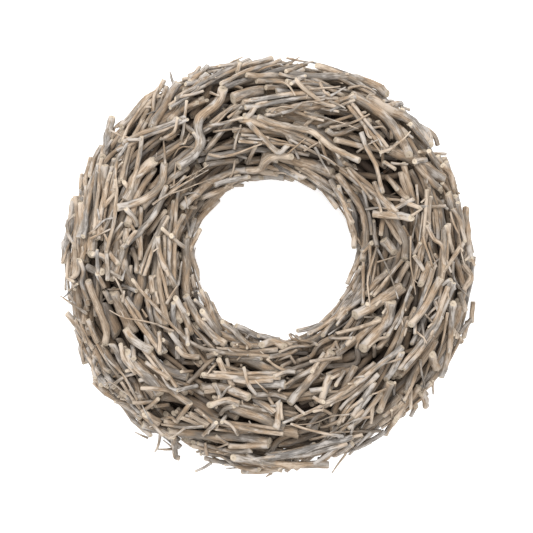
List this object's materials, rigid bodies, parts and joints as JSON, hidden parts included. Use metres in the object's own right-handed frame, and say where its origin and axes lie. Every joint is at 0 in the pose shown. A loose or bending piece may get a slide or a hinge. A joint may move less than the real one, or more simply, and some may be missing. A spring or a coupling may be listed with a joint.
{
  "type": "branch wreath",
  "caption": "Round wreath of short cut branches and thin twigs, laid overlapping round a hoop of bound rods, with an open hole in the middle and a flatter back.",
  "frame": {"origin": "on the surface that the wreath lies on, under the middle of its outline", "axes": "+Z out of the wreath's face, +Y towards the top and +X towards the right as the face is looked at"},
  "size_m": [0.4932, 0.5033, 0.1156],
  "materials": {
    "branches": "weathered bark with a pale wash, matt",
    "hoop_rods": "dark raw rods, matt"
  },
  "bodies": {
    "root": {"rod_hoop": "hoop_rods", "branch_bunch_01": "branches", "branch_bunch_02": "branches", "branch_bunch_03": "branches", "branch_bunch_04": "branches", "branch_bunch_05": "branches", "branch_bunch_06": "branches", "branch_bunch_07": "branches", "branch_bunch_08": "branches", "branch_bunch_09": "branches", "branch_bunch_10": "branches", "branch_bunch_11": "branches", "branch_bunch_12": "branches", "branch_bunch_13": "branches", "branch_bunch_14": "branches", "branch_bunch_15": "branches", "branch_bunch_16": "branches", "branch_bunch_17": "branches", "branch_bunch_18": "branches", "branch_bunch_19": "branches", "branch_bunch_20": "branches", "branch_bunch_21": "branches", "branch_bunch_22": "branches", "branch_bunch_23": "branches", "branch_bunch_24": "branches"}
  },
  "joints": []
}
